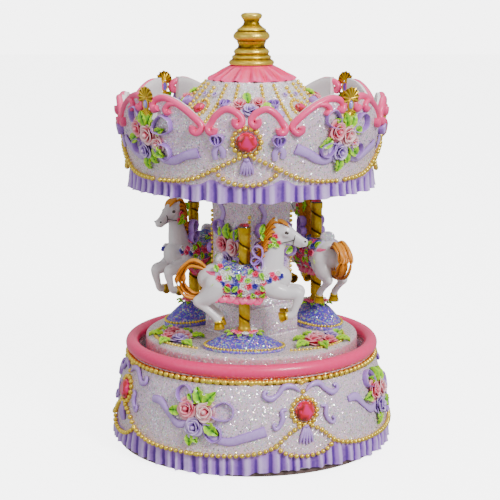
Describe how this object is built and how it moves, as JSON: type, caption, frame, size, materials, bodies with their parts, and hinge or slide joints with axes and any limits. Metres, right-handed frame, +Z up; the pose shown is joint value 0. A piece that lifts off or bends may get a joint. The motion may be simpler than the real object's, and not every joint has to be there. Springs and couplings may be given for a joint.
{
  "type": "carousel music box",
  "caption": "Wind-up musical carousel: prancing horses on poles turn with a scalloped canopy above a round base that holds the movement.",
  "frame": {"origin": "centre of the bottom plate's underside, on the surface that the music box stands on", "axes": "+Z up along the carousel's axis, -Y to the front, where one horse passes from left to right"},
  "size_m": [0.1432, 0.1432, 0.216],
  "materials": {
    "glitter_resin": "pale pink-white resin covered with fine glitter",
    "pink_resin": "glossy painted resin",
    "violet_glitter": "violet resin covered with fine glitter",
    "gilt_resin": "antique gold paint on resin",
    "white_resin": "satin painted resin",
    "acrylic_stone": "polished faceted stone",
    "brown_board": "dark brown board",
    "brass": "polished",
    "spring_steel": "brushed",
    "cast_zinc": "as cast",
    "nylon": "moulded"
  },
  "bodies": {
    "base": {"base_shell": "glitter_resin", "rim_ring": "pink_resin", "bottom_plate": "brown_board", "plate_screw_1": "spring_steel", "plate_screw_2": "spring_steel", "plate_screw_3": "spring_steel", "base_jewel_1": "acrylic_stone", "base_jewel_2": "acrylic_stone", "base_jewel_3": "acrylic_stone", "base_jewel_4": "acrylic_stone", "spindle_bushing": "brass", "movement_bed": "cast_zinc", "cylinder_bracket_inner": "cast_zinc", "cylinder_bracket_outer": "cast_zinc", "idler_bracket": "cast_zinc", "governor_frame": "cast_zinc", "comb": "spring_steel", "comb_block": "cast_zinc", "comb_screw_1": "spring_steel", "comb_screw_2": "spring_steel"},
    "carousel": {"turntable": "glitter_resin", "column": "glitter_resin", "mound_1": "violet_glitter", "mound_2": "violet_glitter", "mound_3": "violet_glitter", "pole_1": "gilt_resin", "pole_2": "gilt_resin", "pole_3": "gilt_resin", "pole_jewel_1": "acrylic_stone", "pole_jewel_2": "acrylic_stone", "pole_jewel_3": "acrylic_stone", "horse_1": "white_resin", "horse_2": "white_resin", "horse_3": "white_resin", "canopy_ceiling": "glitter_resin", "valance": "glitter_resin", "roof_dome": "glitter_resin", "collar": "pink_resin", "finial": "gilt_resin", "shell_1": "gilt_resin", "shell_2": "gilt_resin", "shell_3": "gilt_resin", "shell_4": "gilt_resin", "canopy_jewel_1": "acrylic_stone", "canopy_jewel_2": "acrylic_stone", "canopy_jewel_3": "acrylic_stone", "canopy_jewel_4": "acrylic_stone", "spring_barrel": "brass", "mainspring": "spring_steel", "crown_wheel": "brass", "drive_spindle": "spring_steel"},
    "key": {"winding_key": "brass", "winding_arbor": "spring_steel"},
    "cylinder": {"pin_cylinder": "brass", "cylinder_pinion": "brass", "cylinder_gear": "nylon", "cylinder_arbor": "spring_steel"},
    "idler": {"idler_wheel": "nylon"},
    "governor": {"governor_worm": "brass", "air_brake_fan": "brass"}
  },
  "joints": [
    {"name": "carousel_spin", "type": "hinge", "parent": "base", "child": "carousel", "pos_m": [0, 0, 0.0433], "axis": [0, 0, 1], "continuous": true},
    {"name": "key_turn", "type": "hinge", "parent": "base", "child": "key", "pos_m": [0, 0, 0.003], "axis": [0, 0, 1], "range_deg": [0, 1800]},
    {"name": "cylinder_spin", "type": "hinge", "parent": "base", "child": "cylinder", "pos_m": [0.016, 0, 0.02823], "axis": [1, 0, 0], "continuous": true},
    {"name": "idler_spin", "type": "hinge", "parent": "base", "child": "idler", "pos_m": [0.0364, 0.0084, 0.02823], "axis": [1, 0, 0], "continuous": true},
    {"name": "governor_spin", "type": "hinge", "parent": "base", "child": "governor", "pos_m": [0.0415, 0.0134, 0.02823], "axis": [0, 0, 1], "continuous": true}
  ],
  "couplings": [
    {"joint": "cylinder_spin", "follows": "carousel_spin", "ratio": 3},
    {"joint": "idler_spin", "follows": "carousel_spin", "ratio": -7.5},
    {"joint": "governor_spin", "follows": "carousel_spin", "ratio": 90}
  ]
}
